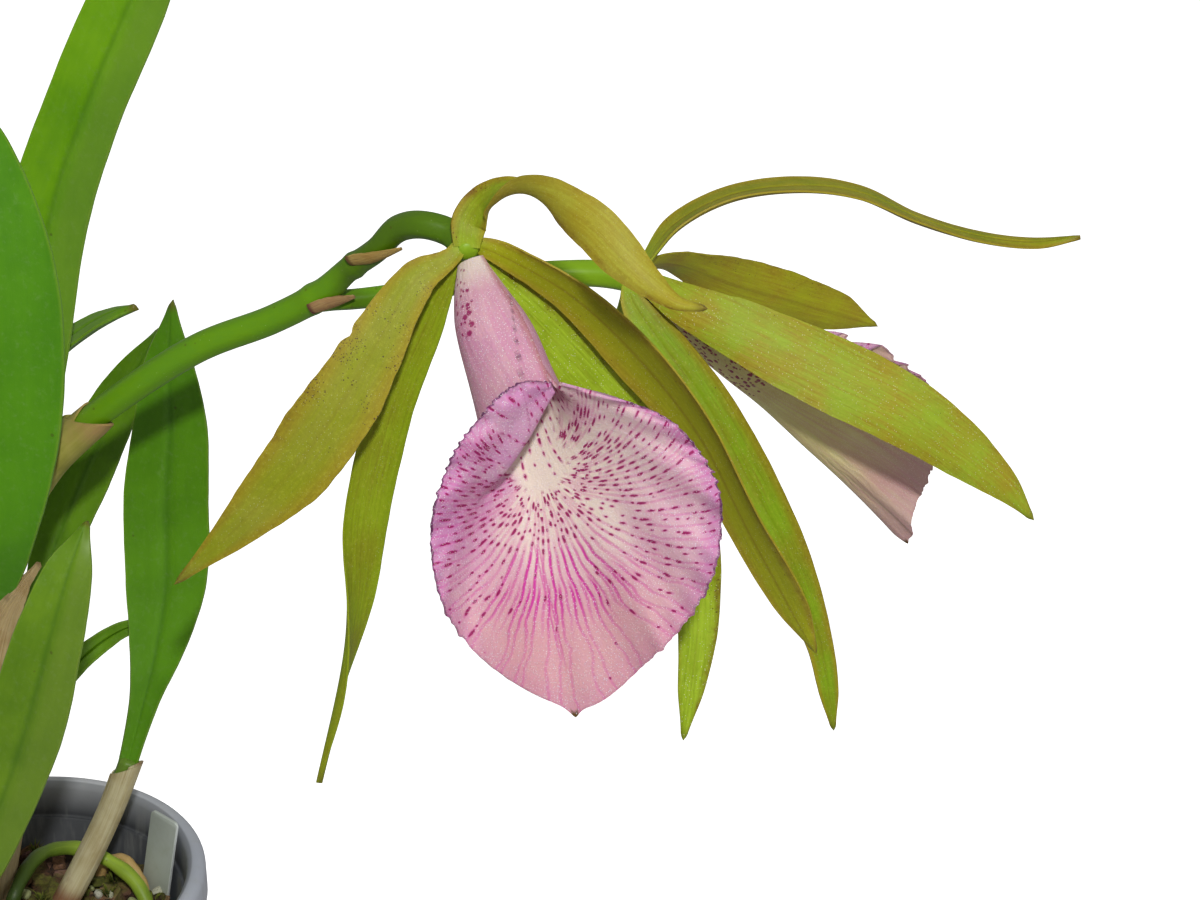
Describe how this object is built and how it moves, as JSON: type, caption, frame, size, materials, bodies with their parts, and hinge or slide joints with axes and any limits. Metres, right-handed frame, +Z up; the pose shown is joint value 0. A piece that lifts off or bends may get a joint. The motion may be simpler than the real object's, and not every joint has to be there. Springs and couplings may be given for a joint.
{
  "type": "potted brassocattleya orchid",
  "caption": "Orchid in a small round pot of bark: slender leafy growths and an arching flower stalk with narrow green petals and broad frilled, spotted pink lips.",
  "frame": {"origin": "middle of the pot's flat underside, on the surface that the pot stands on", "axes": "+Z up along the pot's axis; -Y towards the side that the blooms face; +X towards the side that the flower stalk arches to"},
  "size_m": [0.2484, 0.1213, 0.2824],
  "materials": {
    "pot_plastic": "satin",
    "label_plastic": "satin",
    "bark": "matte",
    "rhizome_skin": "matte",
    "bulb_skin": "satin",
    "leaf_skin": "satin",
    "dry_sheath": "matte",
    "spathe_skin": "matte",
    "stalk_skin": "satin",
    "dry_bract": "matte",
    "root_skin": "matte",
    "tepal_skin": "satin",
    "lip_skin": "satin",
    "column_skin": "satin"
  },
  "bodies": {
    "root": {"pot": "pot_plastic", "plant_label": "label_plastic", "bark_substrate": "bark", "rhizome": "rhizome_skin", "pseudobulb_a": "bulb_skin", "pseudobulb_b": "bulb_skin", "pseudobulb_c": "bulb_skin", "pseudobulb_d": "bulb_skin", "pseudobulb_e": "bulb_skin", "pseudobulb_f": "bulb_skin", "pseudobulb_g": "bulb_skin", "leaf_a": "leaf_skin", "leaf_b": "leaf_skin", "leaf_c": "leaf_skin", "leaf_d": "leaf_skin", "leaf_e": "leaf_skin", "leaf_f": "leaf_skin", "leaf_g": "leaf_skin", "sheath_a": "dry_sheath", "sheath_d": "dry_sheath", "spathe": "spathe_skin", "flower_stalk": "stalk_skin", "bract_1": "dry_bract", "bract_2": "dry_bract", "root_1": "root_skin", "root_2": "root_skin", "root_3": "root_skin", "root_4": "root_skin", "root_5": "root_skin", "dorsal_sepal_1": "tepal_skin", "petal_left_1": "tepal_skin", "petal_right_1": "tepal_skin", "lateral_sepal_left_1": "tepal_skin", "lateral_sepal_right_1": "tepal_skin", "lip_1": "lip_skin", "column_1": "column_skin", "dorsal_sepal_2": "tepal_skin", "petal_near_2": "tepal_skin", "petal_far_2": "tepal_skin", "lateral_sepal_near_2": "tepal_skin", "lateral_sepal_far_2": "tepal_skin", "lip_2": "lip_skin", "column_2": "column_skin"}
  },
  "joints": []
}
